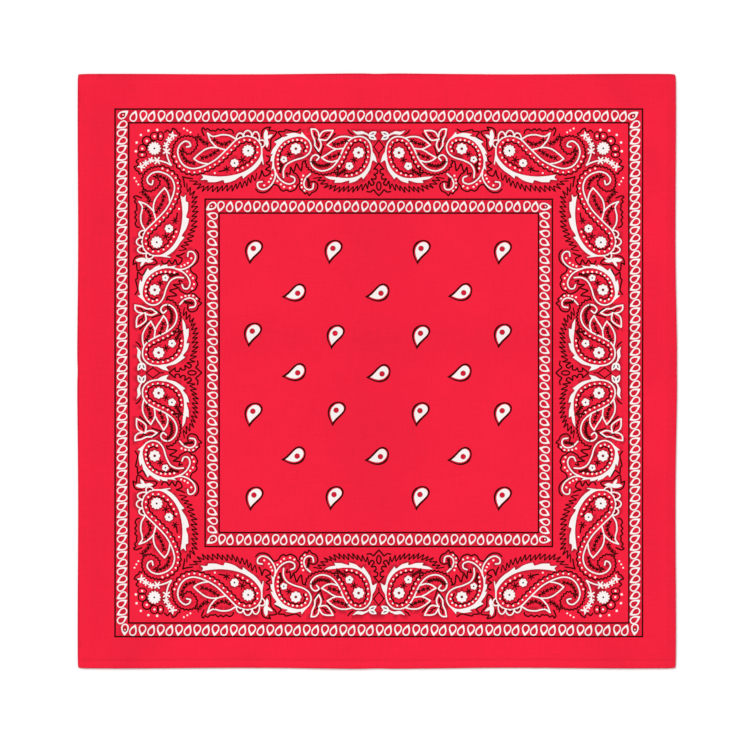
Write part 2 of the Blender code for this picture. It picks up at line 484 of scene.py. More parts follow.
def drawn(ink, *tables, width=None, end=1.0):
    """Smooth lines through tables of points."""
    return [shape for table in tables for shape in stroke(ink, curve(table), width or LINES[ink], end)]


def filled(ink, start, *runs):
    """A filled shape with sharp corners where its smooth runs meet; each run goes on from the last."""
    parts = []
    for run in runs:
        parts.append(curve((start, *run))[:-1])
        start = run[-1]
    return [Shape(ink, [close(np.concatenate(parts))])]


def ring(ink, centre, radius_s, radius_t, width):
    """A drawn circle or oval."""
    turn = np.linspace(0.0, math.tau, RING_POINTS, endpoint=False)
    outer, inner = (centre + (radius_s + grow) * np.cos(turn) + 1j * (radius_t + grow) * np.sin(turn)
                    for grow in (width / 2.0, -width / 2.0))
    return [Shape(ink, [outer, inner[::-1]])]


def arc(centre, radius, middle, spread):
    """Part of a drawn circle."""
    angle = np.linspace(middle - spread, middle + spread, ARC_POINTS)
    return stroke(BLACK, centre + radius * np.exp(1j * angle), LINES[BLACK])


def dots(ink, centres, radius=BEAD, sides=8):
    """Round dots."""
    turn = np.exp(1j * math.tau * np.arange(sides) / sides)
    return [Shape(ink, [centre + radius * turn]) for centre in centres]


def rosette(centre, radius, petals, depth, eye, turn=0.0):
    """A white flower with a scalloped edge and a black eye."""
    angle = np.linspace(0.0, math.tau, petals * PETAL_POINTS, endpoint=False)
    reach = radius * (1.0 - depth + depth * np.abs(np.cos(petals * (angle - turn) / 2.0)))
    return [Shape(WHITE, [close(centre + reach * np.exp(1j * angle))])] + dots(BLACK, [centre], eye)


def star(centre, radius, turn, lines=3, ink=BLACK, width=FINE_LINE):
    """Lines crossing at one point."""
    shapes = []
    for k in range(lines):
        reach = radius * np.exp(1j * (turn + math.pi * k / lines))
        shapes += stroke(ink, np.linspace(centre - reach, centre + reach, 3), width)
    return shapes


def fern(table, barb, pitch, ink=BLACK, width=FINE_LINE):
    """A spine with a small cross at every node."""
    spine = curve(table)
    nodes = resample(spine, pitch)
    shapes = stroke(ink, spine, width)
    for k, (node, heading) in enumerate(zip(nodes, normals(nodes) / 1j)):
        size = barb * (BARB_SIZE + BARB_SWING * math.sin(BARB_STEP * k + BARB_START))
        for lean in BARB_LEANS:
            shapes += star(complex(node), size, np.angle(heading) + lean, 1, ink, width)
    return shapes


def phased(guide, pitch, turn):
    """A guide's points, and a phase that grows by one turn with each pitch along it."""
    path = resample(guide, pitch / WAVE_POINTS)
    return path, np.linspace(0.0, turn * round(whole(guide) / pitch), len(path))


def wave(guide, height, pitch):
    """A wavy black line along a guide."""
    path, phase = phased(guide, pitch, math.tau)
    return stroke(BLACK, path + height * np.sin(phase) * normals(path), LINES[BLACK])


def scallop(guide, depth, pitch):
    """Black arches along a guide, each bulging to the right-hand side of travel."""
    path, phase = phased(guide, pitch, math.pi)
    return stroke(BLACK, path + depth * (np.abs(np.sin(phase)) - 0.5) * normals(path), LINES[BLACK])


def beads(guide, pitch, radius=BEAD):
    """White dots along a guide, one under each arch of a scallop with that pitch."""
    count = round(whole(guide) / pitch)
    return dots(WHITE, resample(guide, whole(guide) / (2 * count))[1::2], radius)


def beside(guide, distance):
    """A guide moved to the right-hand side of travel."""
    path = resample(guide, GUIDE_STEP)
    return path + distance * normals(path)


def grass(table, height, pitch, lean):
    """A zigzag of leaning blades along a guide."""
    path = resample(curve(table), pitch / 2.0)
    right = normals(path)
    number = np.arange(len(path))
    side = np.where(number % 2, -1.0, 1.0)
    size = 0.5 * height * (1.0 - BLADE_SHARE * (number % 3))
    return drawn(BLACK, path + side * size * right - side * lean * (right / 1j), width=FINE_LINE)


def lace(bases, peaks):
    """Loops standing on a line, each with a dark tick inside."""
    shapes = []
    turn = np.linspace(0.0, math.pi, LOOP_POINTS)
    for first, last, peak in zip(bases, bases[1:], peaks):
        middle, half = (first + last) / 2.0, (last - first) / 2.0
        loop = middle - half * np.cos(turn) + (peak - middle) * np.sin(turn)
        shapes += stroke(WHITE, loop, LACE_LINE)
        tick = middle - TICK_REACH * half * np.cos(turn) + (peak - middle) * (
            TICK_BASE + TICK_RISE * np.sin(turn))
        shapes += stroke(BLACK, tick, LACE_TICK_LINE)
    return shapes


def leaf(tip, upper, lower, vein):
    """A white-outlined leaf from its tip, with a black fern along it."""
    return drawn(WHITE, (tip, *upper), (tip, *lower)) + fern(vein, LEAF_BARB, LEAF_PITCH)


def drop_outline(angle, length, width):
    """A tear-drop's outline round its middle, with its tip towards an angle."""
    half = DROP_STEPS ** TIP_POWER * np.sqrt(1.0 - DROP_STEPS)
    half *= 0.5 * width / half.max()
    spine = (0.5 - DROP_STEPS) * length
    edge = np.concatenate([spine + 1j * half, (spine - 1j * half)[-2:0:-1]])
    return edge * np.exp(1j * angle)


def drawn_drop(centre, angle, length, width, line_width):
    """A tear-drop drawn as a white line, with the middle of its box at a centre."""
    outer = drop_outline(angle, length, width)
    inner_length = length - DROP_TIP * line_width
    shift = (inner_length - length) / 2.0 + line_width
    inner = drop_outline(angle, inner_length, width - 2.0 * line_width) + shift * np.exp(1j * angle)
    box = complex(outer.real.min() + outer.real.max(), outer.imag.min() + outer.imag.max())
    move = centre - box / 2.0
    return [Shape(WHITE, [close(outer + move), close(inner + move)[::-1]])]


# ---------------------------------------------------------------- the motifs of the band, as s + tj
PETALS_MEET = 224.8 + 11.9j     # in the medium paisley's blossom
PETAL_VEIN = ((226.9, 1 / 3), (229.2, 7 / 12))    # s of its ends, and shares of the petal's rise


def corner_piece():
    """Flower, circles and sprigs in a corner, drawn on one side of the diagonal and mirrored."""
    half = ring(BLACK, 23.9+12.5j, 3.8, 3.8, CIRCLE_LINE) + ring(BLACK, 29.6+12.4j, 2.9, 4.1, CIRCLE_LINE)
    half += dots(WHITE, (24+12.5j, 29.7+12.4j), PEARL)
    half += dots(WHITE, (26.5+6.5j, 18.3+7.2j), LARGE_PEARL)
    half += drawn(WHITE, (39.6+39.4j, 37.6+36j, 35.6+30j, 35.2+26.4j))
    half += fern((35.2+26.4j, 34.9+20.6j, 37.9+15.4j, 41.2+11.4j), 3.0, 5.6, WHITE, SPRIG_LINE)
    half += drawn(BLACK, (33.5+9j, 36+6.7j, 38.2+8.6j, 40+8j, 41+5j, 44.5+7j, 45.5+9j, 47.8+9.8j, 47+12j))
    half += dots(WHITE, (51.5+5.2j, 54.7+7j, 57.6+8.8j))
    half += drawn(BLACK, (50.3+50.3j, 53+51.2j, 59.5+52.2j))
    shapes = half + swapped(half)
    shapes += arc(16.8+16.8j, 4.2, -2.36, 2.15) + arc(23.8+23.8j, 7.1, -2.36, 0.85)
    shapes += dots(WHITE, (16.8+16.8j, 11.2+11.2j), LARGE_PEARL)
    return shapes + rosette(23.8+23.8j, 6.2, 13, 0.24, 0.9)


def large_paisley():
    """A long paisley with its tail curled in, two leaves, lace, a torn white edge and grass."""
    neck = (52.5+40.4j, 59.5+42.7j, 67+41.5j, 80+35.2j, 93+23.2j, 101.5+15j, 110.7+12.1j, 119+14.6j)
    tail = (54+22.5j, 57.6+21.5j, 56.6+18.4j, 53+17j, 48+20.3j, 45.6+27j, 48+35.3j)
    shapes = drawn(WHITE, (*tail, *neck, 123.8+21j, 124.5+31j, 125.8+38.6j), end=0.6)
    rim = curve((45.2+27.8j, 47.6+34.5j, *neck, 123.6+21j, 123+31j, 117+39.5j, 108+45.3j, 101+48.6j))
    shapes += scallop(beside(rim, 5.5), 1.6, 5.25)
    shapes += beads(beside(rim, 3.5), 5.1) + dots(WHITE, [80.4+46.9j])
    shapes += wave(
        curve((50.2+22.8j, 51.6+26.5j, 56+29.2j, 61+25.8j, 64+20j, 61.8+14.2j, 56+12.2j, 48.5+13.6j,
              43.3+18.5j, 41+25j, 40.6+30j)), 0.55, 3.4)
    shapes += rosette(111.7+26j, 5.6, 11, 0.19, 0.95) + rosette(98.9+37.5j, 4.0, 7, 0.18, 0.85, 0.3)
    shapes += star(106.2+34.6j, 3.5, 0.2) + star(91.6+43.2j, 3.0, 0.4)
    shapes += drawn(BLACK, (84.4+45.3j, 87.5+44.9j, 91.6+43.2j))
    shapes += leaf(
        73.6+9.4j, (78.5+12.6j, 87+11j, 94.5+11.8j, 99.8+14.9j), (75.7+15.2j, 79.2+20j, 82.6+23j),
        (79.8+15.8j, 83.6+18.6j, 89+20.2j, 94.6+17.4j))
    shapes += leaf(
        60.8+33.4j, (65.8+28.7j, 72.5+24.2j, 80+22.8j, 89.9+25j), (64.5+36.1j, 69+37.6j, 74+38.3j),
        (68.4+32.8j, 73.4+31.6j, 79+28.6j, 83.6+25.6j))
    shapes += fern((49+26j, 50.8+31.6j, 54.6+36.2j, 61+37.6j), 2.0, 3.5)
    shapes += fern((64.4+12.8j, 67.4+15.6j, 70.2+18.2j, 73.4+19.4j), 2.4, 4.3)
    shapes += drawn(
        BLACK,
        (70.2+11.8j, 68.2+6.2j, 69.6+4.4j, 71.4+6.6j, 73.6+5.2j, 76.2+7.3j, 79+7j, 81+7.7j, 83.4+5.5j,
         86+7j, 88.2+5.5j, 91.1+7.2j, 94+5.8j, 97.2+7.4j, 97.8+9.8j))
    shapes += lace(
        (100.6+14.8j, 107.2+12.6j, 115.3+12.6j, 122+16.6j, 124.5+23j),
        (103.4+9.5j, 111.2+7j, 119.9+8.4j, 127.2+17.6j))
    shapes += filled(
        WHITE, 68+48.4j, (76+49.6j, 86+50.2j, 97+49j, 107+46j, 116+40.2j, 122+33j, 124.4+27j),
        (125.2+33j, 122.7+38.2j, 117.5+44j, 111.2+48.4j, 106.9+52j),
        (106+49.4j, 99.3+53.4j, 94+55.4j, 89.7+56.2j), (88.5+53.6j, 82+55.2j, 74.3+55.4j),
        (73.4+53.3j, 67+53.4j), (69.6+51j, 68+48.4j))
    blades = (
        60+53.6j, 62.4+56.8j, 67+60.4j, 77+61.6j, 88+61.4j, 98+60.4j, 107+57.4j, 114+53.4j, 119.6+49.6j)
    return shapes + grass(blades, 6.2, 4.5, 1.4)


def bud():
    """A white bud in a black outline, at the large paisley's head."""
    shapes = filled(
        WHITE, 128.1+6j, (129.8+8j, 130+12j), (132+11j, 134.8+10.6j),
        (132.8+13.4j, 130+15.4j, 130.8+18j, 130.6+20.4j, 129.4+23j),
        (127.9+20.4j, 128+17.4j, 126.4+14.6j, 126.4+10j, 128.1+6j))
    return shapes + drawn(
        BLACK, (124.4+12.4j, 124.8+7.4j, 127.4+4.8j, 132.6+3.9j),
        (132.6+3.9j, 131.2+7j, 134.8+7.2j, 138.2+8.2j, 136.8+11.6j, 133.2+15.2j, 132.8+20j, 132.6+24j,
         131.2+26.4j), (131.2+26.4j, 129+25.2j, 127+22.6j))


def small_paisley():
    """A paisley that stands on its head, with a curl on each side of its tail and a torn white edge."""
    head = (
        164.9+13.1j, 168.7+16.9j, 170.6+22.2j, 169+27.8j, 164+32j, 154.4+35.1j, 147.6+39j, 144.7+44.5j,
        144.9+51j)
    tail = (
        135.3+33.6j, 135.3+38.4j, 136.4+44j, 140.2+51.4j, 145+55.6j, 150.5+57.2j, 155+55j, 154.9+51.3j,
        151.5+49.7j)
    curl = (136.9+44j, 137+50.5j, 134+57j, 129.5+61.2j, 124.4+62.3j, 120.6+59.4j, 120.8+55.8j, 124.8+55j)
    shapes = drawn(WHITE, head, tail, curl)
    rim = curve(
        (137+45j, 136+37j, 136.6+28j, 141+19.5j, 149+14j, 158+12.3j, 165.4+14.3j, 169.8+20j, 169.6+26.5j,
         167+30j))
    shapes += scallop(beside(rim, 5.1), 1.3, 4.2)
    shapes += beads(beside(rim, 3.4), 4.2, LARGE_BEAD)
    shapes += filled(
        WHITE, 136.4+44.6j,
        (135.6+38j, 136.6+30.4j, 140+22.9j, 145.7+16.8j, 153.5+13.5j, 161+12.9j, 168+16.2j),
        (165.5+12.8j, 161.6+8j), (161.2+10.4j, 155+9.2j, 146.6+10.5j), (148.8+11.9j, 142+14j, 136+17.8j),
        (138.2+19.4j, 134.9+24.2j, 132.6+29.2j), (134.6+28.8j, 133+32.2j, 132.6+36j),
        (134.2+36j, 134.2+40j, 133.2+44.4j), (135.2+42.4j, 136.6+44.6j))
    shapes += rosette(156.3+24.1j, 5.3, 8, 0.18, 1.35) + dots(RED, [156.3+24.1j], HEART)
    shapes += rosette(145.1+34.1j, 3.3, 5, 0.22, 0.8, 0.5) + star(149.9+29.3j, 3.0, 0.1)
    shapes += fern((143.6+39j, 142.4+42.4j, 141.5+46j), 1.2, 2.6)
    shapes += dots(
        WHITE,
        (134.2+48.9j, 132.9+52.1j, 131.1+55.1j, 126.7+58.4j, 139+54.4j, 142.3+57.4j, 145.3+59.9j,
         150.9+60.9j, 155+59.2j), LARGE_BEAD)
    return shapes + drawn(
        BLACK,
        (118.8+62j, 121.5+64.6j, 126.7+65.2j, 130.8+63.4j, 133.6+60.2j, 135.4+57.6j),
        (135.4+57.6j, 138.4+58j, 140.4+59.6j, 142+62.4j, 144.6+63.8j, 147.4+62.6j, 150.6+64.2j,
         153.6+63.4j, 156.4+61.6j, 157.6+58.6j, 159.8+56.4j, 160+53.6j, 158.4+50.2j, 156.8+47.8j,
         154.2+46.6j),
        (148.4+50j, 147.4+46.8j, 150.6+47.8j, 151.4+41.4j, 154.2+45.8j, 157+38.2j, 159.4+42.6j,
         161.4+44.6j, 163+36.2j, 165.8+35.2j),
        (129+30.6j, 132+32.4j, 131+35.8j, 128.4+37.6j, 132.2+40.4j, 128+43.4j, 132.6+45.6j, 130+49j,
         126.8+49.6j, 124.4+44.4j, 123.6+48.6j, 121.8+52j),
        (137.2+16.2j, 142.6+12.6j, 139.8+8.4j, 145.6+7.8j, 146.4+6.4j, 152+7.4j, 156.6+8.2j, 160.6+5.8j))


def tulip():
    """An open flower of three white petals between the small and the medium paisley."""
    shapes = drawn(
        WHITE,
        (170.6+5.7j, 171.6+11.2j, 174+16.6j, 174.2+21j, 177.8+26.4j),
        (170.6+5.7j, 174.4+5.9j, 177.2+8.6j, 178.2+13.1j),
        (177.8+26.4j, 179.8+22j, 179.6+18j, 177.6+14.4j),
        (178.2+13.1j, 181.1+8.5j, 185+7.1j, 191.2+7.1j),
        (191.2+7.1j, 188.6+12j, 184.6+16j, 177.6+15.2j))
    shapes += drawn(
        BLACK,
        (174+8.6j, 174.2+11.6j, 176.6+13.8j, 175.4+17j, 177.4+19.6j, 177+22.6j),
        (180.4+13.8j, 183.4+12.8j, 184.6+10.4j, 187.6+9.2j),
        width=VEIN_LINE)
    shapes += drawn(BLACK, (184+12.4j, 186+12.4j), width=TICK_LINE)
    return shapes + drawn(
        BLACK,
        (173.4+22.6j, 176.4+27j, 179.4+30.6j),
        (179.6+30j, 181+25j, 182.4+21.4j),
        (185.4+18.4j, 189.4+14.4j, 193.2+9.8j))


def medium_paisley():
    """A paisley like the large one, with a blossom at its head, next to the middle of the side."""
    shapes = drawn(
        WHITE,
        (175.8+35j, 178+32j, 174.8+29.8j, 171.2+32j, 170.2+37j, 173.8+42.4j, 180.8+44.9j, 188.7+42.7j,
         195.5+35.6j, 201.1+24.1j, 206+16.6j, 212+13.1j, 219.5+13.2j, 225.2+18j, 227.4+26j, 226.6+34j))
    shapes += leaf(
        185.6+20.5j, (190.4+16.6j, 197+13.2j, 203+12.7j, 209+14j), (189+22.4j, 193.5+24.4j, 200.4+23.8j),
        (192+20.2j, 197+19.4j, 203.4+16.6j))
    shapes += leaf(
        180.4+32.4j, (185.4+29.6j, 189.7+26.6j, 194+24.5j), (184.4+35.2j, 189.6+36.5j, 195.4+34.9j),
        (187.6+32.2j, 192+31.2j, 196.8+29j))
    shapes += fern((172.2+36.2j, 176.3+39.6j, 181.5+40.4j, 187.6+38.8j), 1.9, 3.0)
    rim = curve(
        (189.7+44j, 195.8+35.9j, 201.1+24.5j, 206.5+15.8j, 212.5+12.8j, 219.5+13.2j, 225.2+18j, 227.4+27j,
         225.8+37j, 221+45.6j, 212+51.4j, 202+53j))
    shapes += beads(beside(rim, 3.4), 4.8)
    shapes += scallop(beside(rim, 5.0), 1.3, 4.8)
    shapes += filled(
        WHITE, 183.2+50j,
        (191.1+50.4j, 200.7+51.6j, 210.2+51.1j, 217.6+47.8j, 223+41.8j, 226.2+34j, 227.3+25.5j),
        (230.6+31j, 232.2+37.2j), (228.4+35j, 225.6+43.6j, 219.4+52.6j),
        (217.9+50.6j, 212.6+54.4j, 206.2+56.4j), (206.4+54j, 199+55.8j, 192.3+56j),
        (193.2+53.7j, 187.8+52.6j, 183.2+50j))
    shapes += filled(
        WHITE, 209.4+7j, (213.5+8.2j, 219+7.8j, 224.6+11.8j), (219.8+10.4j, 213.6+10.8j, 209.4+7j))
    shapes += drawn(WHITE, (222+9.8j, 224.6+11.8j))
    for tip in (231.6+8.3j, 231.8+15.6j):
        heading = tip - PETALS_MEET
        petal = drop_outline(np.angle(heading), 8.0, 4.6)
        shapes.append(Shape(WHITE, [petal + complex(228.4, PETALS_MEET.imag + heading.imag / 2.0)]))
        vein = [complex(s, PETALS_MEET.imag + share * heading.imag) for s, share in PETAL_VEIN]
        shapes += drawn(BLACK, vein, width=TICK_LINE)
    shapes += drawn(BLACK, (205.2+6.6j, 206.6+8.8j, 209.8+10.9j))
    shapes += rosette(215.1+27.8j, 5.4, 8, 0.17, 1.35) + dots(RED, [215.1+27.8j], HEART)
    shapes += rosette(206.4+40.3j, 3.8, 5, 0.2, 0.8, 0.2) + star(210.8+34.8j, 3.1, 0.3)
    shapes += fern((202.4+44.2j, 198.6+46.6j, 195+48.6j), 1.9, 2.6)
    shapes += wave(
        curve((165.4+36.4j, 166.6+41j, 171.5+45.4j, 178.4+48j, 185+48.2j, 192+45.8j, 196+41.4j)), 0.6,
        3.6)
    blades = (176+50.6j, 180+54j, 186+59.2j, 194+61.6j, 204+62j, 213+61.6j, 221+59.6j, 226.6+56j)
    return shapes + grass(blades, 6.0, 4.3, 1.5)


def hook():
    """A small white hook with beads and a fern, over the medium paisley's tail."""
    shapes = drawn(
        WHITE, (169.9+47.6j, 165.8+51.4j, 163.8+56.6j, 165.2+60.8j, 168.6+62.6j, 172+61.4j, 172.8+57j))
    shapes += dots(WHITE, (163.2+49.3j, 162+52.9j, 161.6+56.3j, 161.8+60.2j, 164.4+63.3j), LARGE_BEAD)
    shapes += fern((167.6+52.4j, 168.3+56j, 168.8+59.6j), 1.5, 2.3)
    return shapes + drawn(
        BLACK,
        (159.6+59j, 160.6+62j, 163.4+64.4j, 164.9+66.4j, 167+65.2j, 168.7+68j, 171.4+65.2j, 174.8+63.8j,
         176.8+60j, 176.4+56.8j, 173.6+54.8j, 169.6+55.4j))


def centre_piece():
    """Black leaves and a ring in the middle of a side, drawn to one side of it and mirrored."""
    half = drawn(BLACK, (234.03+16j, 229.3+22.4j), (229.3+22.4j, 234.03+28.8j), width=FINE_LINE)
    half += dots(BLACK, (229.2+22.4j, 234.03+16.3j), 0.9)
    half += drawn(BLACK, (234.03+28.6j, 234.03+32.6j), width=FINE_LINE)
    half += drawn(
        BLACK,
        (234+37.6j, 231.8+40.4j, 229.4+43.2j),
        (229.4+43.2j, 232.2+43.4j, 232.7+46.8j, 229.4+48.2j, 231.4+49.8j, 230.8+52.6j, 227+52.4j,
         229.6+56.4j, 227.6+58.4j, 224.4+55j),
        (223+64.2j, 226.4+64.6j, 229+62.6j, 231.4+65.4j, 234+68j))
    mirror = changed(half, lambda loop: 2.0 * BAND_MIDDLE - np.conj(loop))
    return half + mirror + ring(BLACK, BAND_MIDDLE + 59.0j, 2.0, 3.8, LINES[BLACK])


# ---------------------------------------------------------------- the print's layout
# How the top left corner's outlines are copied to all four corners, and the top's to the other sides
TO_CORNERS = (np.positive, lambda loop: -np.conj(loop), np.conj, np.negative)
TO_SIDES = (np.positive, np.conj, lambda loop: 1j * loop, lambda loop: -1j * loop)


def swapped(shapes):
    """The shapes mirrored across the corner's diagonal."""
    return changed(shapes, lambda loop: 1j * np.conj(loop))


def moved(shapes, step):
    """The shapes moved by a step."""
    return changed(shapes, lambda loop: loop + step)


def copied(shapes, changes):
    """Copies of shapes on the band, from its own coordinates to the print's."""
    first = changed(shapes, lambda loop: complex(-BAND_CORNER, BAND_CORNER) + np.conj(loop))
    return [shape for change in changes for shape in changed(first, change)]


def band():
    """The band of paisleys: half a side, swapped, copied and mirrored, with its corners and centres."""
    half = large_paisley() + bud() + small_paisley() + tulip() + medium_paisley() + hook()
    return (copied(half + swapped(half), TO_CORNERS) + copied(corner_piece(), TO_CORNERS)
            + copied(centre_piece(), TO_SIDES))


# Rows of tear-drops in the ribbons: the side, how far out from the print's middle, where along the
# side the first is, from one to the next, how many, where they point in degrees, length and width
ROWS = [
    ("top", 240.4, -229.8, 16.98, 28, 70, 11.1, 6.9),
    ("top", 240.4, -220.4, 16.98, 27, 260, 10.9, 7.2),
    ("bottom", 241.0, -230.2, 17.06, 28, 70, 11.1, 6.9),
    ("bottom", 241.0, -221.2, 17.09, 27, 260, 10.9, 7.2),
    ("left", 240.5, 232.7, -15.21, 31, 209, 11.0, 7.0),
    ("left", 240.5, 224.8, -15.21, 31, 32, 11.0, 7.0),
    ("right", 239.9, 232.7, -15.21, 31, 209, 11.0, 7.0),
    ("right", 239.9, 224.8, -15.21, 31, 32, 11.0, 7.0),
    ("top", 155.8, -139.7, 16.82, 18, 80, 10.6, 6.9),
    ("top", 155.8, -147.8, 16.86, 18, 253, 10.6, 6.9),
    ("bottom", 156.1, -139.4, 16.77, 18, 80, 10.6, 6.9),
    ("bottom", 156.1, -146.8, 16.74, 18, 253, 10.6, 6.9),
    ("left", 155.8, 146.9, -16.80, 18, 164, 10.4, 6.8),
    ("left", 155.8, 139.4, -16.83, 18, -30, 10.4, 6.8),
    ("right", 155.3, 147.3, -16.88, 18, 164, 10.4, 6.8),
    ("right", 155.3, 139.4, -16.86, 18, -30, 10.4, 6.8),
]

# The ringed drop in each of the ribbons' corners: its place and where it points
CORNERS = [
    (-239.6+241.5j, 35), (238.1+240.5j, 35), (-237.7-240.4j, 265), (239.9-240.4j, 265),
    (-156.7+156.3j, 215), (156.1+155.8j, -5), (-156.2-155.9j, 215), (155.6-156.1j, -5),
]
CORNER_LENGTH = 11.3
CORNER_WIDTH = 7.2
CORNER_RING = 1.7
CORNER_RING_LINE = 0.75
CORNER_DOT = 0.65


def ribbons():
    """Rows of drawn tear-drops between each pair of frames."""
    shapes = []
    for side, reach, first, pitch, count, tip, length, width in ROWS:
        out = reach if side in ("top", "right") else -reach
        for k in range(count):
            along = first + pitch * k
            centre = complex(out, along) if side in UPRIGHT else complex(along, out)
            shapes += drawn_drop(centre, math.radians(tip), length, width, RIBBON_LINE)
    for centre, tip in CORNERS:
        shapes += drawn_drop(centre, math.radians(tip), CORNER_LENGTH, CORNER_WIDTH, CORNER_LINE)
        shapes += ring(BLACK, centre, CORNER_RING, CORNER_RING, CORNER_RING_LINE)
        shapes += dots(WHITE, [centre], CORNER_DOT, 6)
    return shapes


def frames():
    """Four drawn squares, with points along their sides that let them follow the cloth's form."""
    shapes = []
    for reach in (OUTER_FRAME, BAND_FRAME, INNER_FRAME, FIELD_FRAME):
        count = round(2.0 * reach / FRAME_STEP)
        side = 1j - 1.0 + 2.0 * np.arange(count) / count
        square = np.concatenate([side * turn for turn in (1j, 1.0, -1j, -1.0)])
        outer, inner = (square * (reach + half) for half in (FRAME_LINE / 2, -FRAME_LINE / 2))
        shapes.append(Shape(BLACK, [outer, inner[::-1]]))
    return shapes


# The field's tear-drop, and where its upright and its lying copies are
DROP_EDGE = (
    -5.9-8.4j, -7.9-4.1j, -8.7+0.6j, -7.9+4.7j, -5.7+8.2j, -1.8+10.4j, 2.8+10.9j, 6.5+9.3j, 8.5+5.9j,
    7.9+2.3j, 5.4-1.3j, 1.9-4.6j, -1.2-8j, -4.1-12.3j)
DROP_BODY = (
    -5.5-3.7j, -6.1+0.4j, -5.2+4j, -3.3+6.6j, -0.8+8.3j, 2.4+8.8j, 5.1+7.5j, 6.5+5.1j, 6.1+2.7j, 4+0j,
    1-2.9j, -1.5-5.2j, -3.8-8j)
DROP_MIDDLE = 0.25 + 0.85j
DROP_EYE = -0.7 + 2.9j
EYE_EDGE = 2.6
EYE = 2.4
EYE_SIDES = 14
GAP_SIZE = 1.13                  # of the red under a tear-drop's white body, against the body
GAP_SHIFT = -0.35 - 0.1j         # and how far that red is printed from it
UPRIGHT_DROPS = (
    -116.5+114.5j, -42+114.5j, 40.5+114.5j, 116.5+114j, -117.5+37j, -40+35j, 40+35j, 116.5+36j,
    -117-38j, -39-37j, 39.5-37.5j, 116.5-37.5j, -116-116.5j, -41-116j, 39.5-116j, 116.5-116.5j)
LYING_DROPS = (
    -78+75.5j, 75.5j, 77.5+76j, -78+1j, 1, 77+0.5j, -78.5-77j, -0.5-77.5j, 77-77.5j)


def field():
    """Staggered tear-drops, each a black edge, a red gap, a white body and a ringed red eye."""
    edge = filled(BLACK, DROP_EDGE[-1], DROP_EDGE)
    body = filled(WHITE, DROP_BODY[-1], DROP_BODY)
    gap = [Shape(RED, [DROP_MIDDLE + (body[0].loops[0] - DROP_MIDDLE) * GAP_SIZE + GAP_SHIFT])]
    eye = dots(BLACK, [DROP_EYE], EYE_EDGE, EYE_SIDES) + dots(RED, [DROP_EYE], EYE, EYE_SIDES)
    upright = moved(edge + gap + body + eye, -DROP_MIDDLE)
    shapes = [shape for spot in UPRIGHT_DROPS for shape in moved(upright, spot)]
    return shapes + [shape for spot in LYING_DROPS for shape in moved(swapped(upright), spot)]


def whole_print():
    """Every shape of the print where it lies on the cloth, the lowest first."""
    return moved(frames() + ribbons() + band() + field(), PRINT_MIDDLE)


# ---------------------------------------------------------------- meshes
EDGE_STEP = 3.2                 # millimetres, as all that measures the flat cloth here
HEM_ROWS = (2.4, 4.2)           # rows of points between the edge and a seam,
SEAM_ROWS = (-0.7, 0.0, 0.7)    # on both sides of a seam,
RAMP_ROWS = (0.08, 0.22, 0.40, 0.62)   # and on the way down from a hem, as shares of it
SEAM_CLEARANCE = 1.0            # least distance from the edge's rows to a seam
MERGE_DISTANCE = 1e-4           # points closer than this become one
OPEN_GRID = 2.0                 # spacing of the points between outlines, in steps
NEAR_OUTLINE = 2.2
BAND_GRID = 4.8                 # the same in the band of paisleys, where the halo needs points close to it
NEAR_BAND_OUTLINE = 1.5
UNDER_STEP = 6.4
UNDER_LEAST = 13.0
UNDER_TOLERANCE = 0.35
# name of the point attribute that carries the painted shade and light of the cloth's folds, borders,
# corners, hems and edges
PAINTED_SHADE = "shade"
HALO = "halo"                   # where red dye has gathered against the white of the print
RIBBON_HALO = -0.30
BAND_HALO = -0.56
HALO_LEAST = 3.0                # narrower outlines have none

HALF = complex(CLOTH_WIDTH, CLOTH_HEIGHT) / (2.0 * MM)

FACING_OUT = [0, 3, 2, 1]       # order of the corners of the faces round the turned edge

BAKE_MAP = "OFBake"
BAKE_AREAS = ((0.25, 0.25), (0.75, 0.25), (0.25, 0.75), (0.75, 0.75))   # three inks and the underside
UNDER_AREA = 3
RING_SPREAD = 0.004
BAKE_RINGS = 12                 # room for this many rings of the turned edge round each area
BAKE_SPAN = 2.0 * HALF.real * (1.0 + BAKE_RINGS * RING_SPREAD)


def border(inset):
    """The straight-sided square's edge drawn in by an inset, anticlockwise."""
    corners = [-HALF, HALF.conjugate(), HALF, -HALF.conjugate()]
    runs = []
    for start, end in zip(corners, corners[1:] + corners[:1]):
        steps = round(abs(end - start) / EDGE_STEP)
        runs.append(start + (end - start) * np.arange(steps) / steps)
    edge = np.concatenate(runs)
    across = np.clip(edge.real, inset - HALF.real, HALF.real - inset)
    return across + 1j * np.clip(edge.imag, inset - HALF.imag, HALF.imag - inset)


def rows_from(side, seams):
    """Distances from a side to the rows of points that carry its hem's form, and its seam's if asked."""
    seam = seam_distance(side) / MM
    start = (EDGES[side].hem_width + HEM_CLEARANCE) / MM
    ramp = [start + share * EDGES[side].ramp / MM for share in RAMP_ROWS]
    near = [row for row in HEM_ROWS if row < seam - SEAM_CLEARANCE] + [seam + row for row in SEAM_ROWS]
    return np.array(near + ramp if seams else [start] + ramp)


def crossings(columns, lines):
    """All crossings of some columns and lines."""
    return (columns[:, None] + 1j * lines[None, :]).ravel()


def stops(sides, half, step, seams):
    """Places along one axis: the rows by its two sides, the steps between them and the open grid."""
    low, high = (rows_from(side, seams) - half for side in sides)
    high = -high
    wide = OPEN_GRID * step
    between = np.linspace(low[-1], high[-1], int((high[-1] - low[-1]) / step))[1:-1]
    return np.concatenate([low, high]), between, np.arange(low[-1] + wide, high[-1] - wide / 2.0, wide)


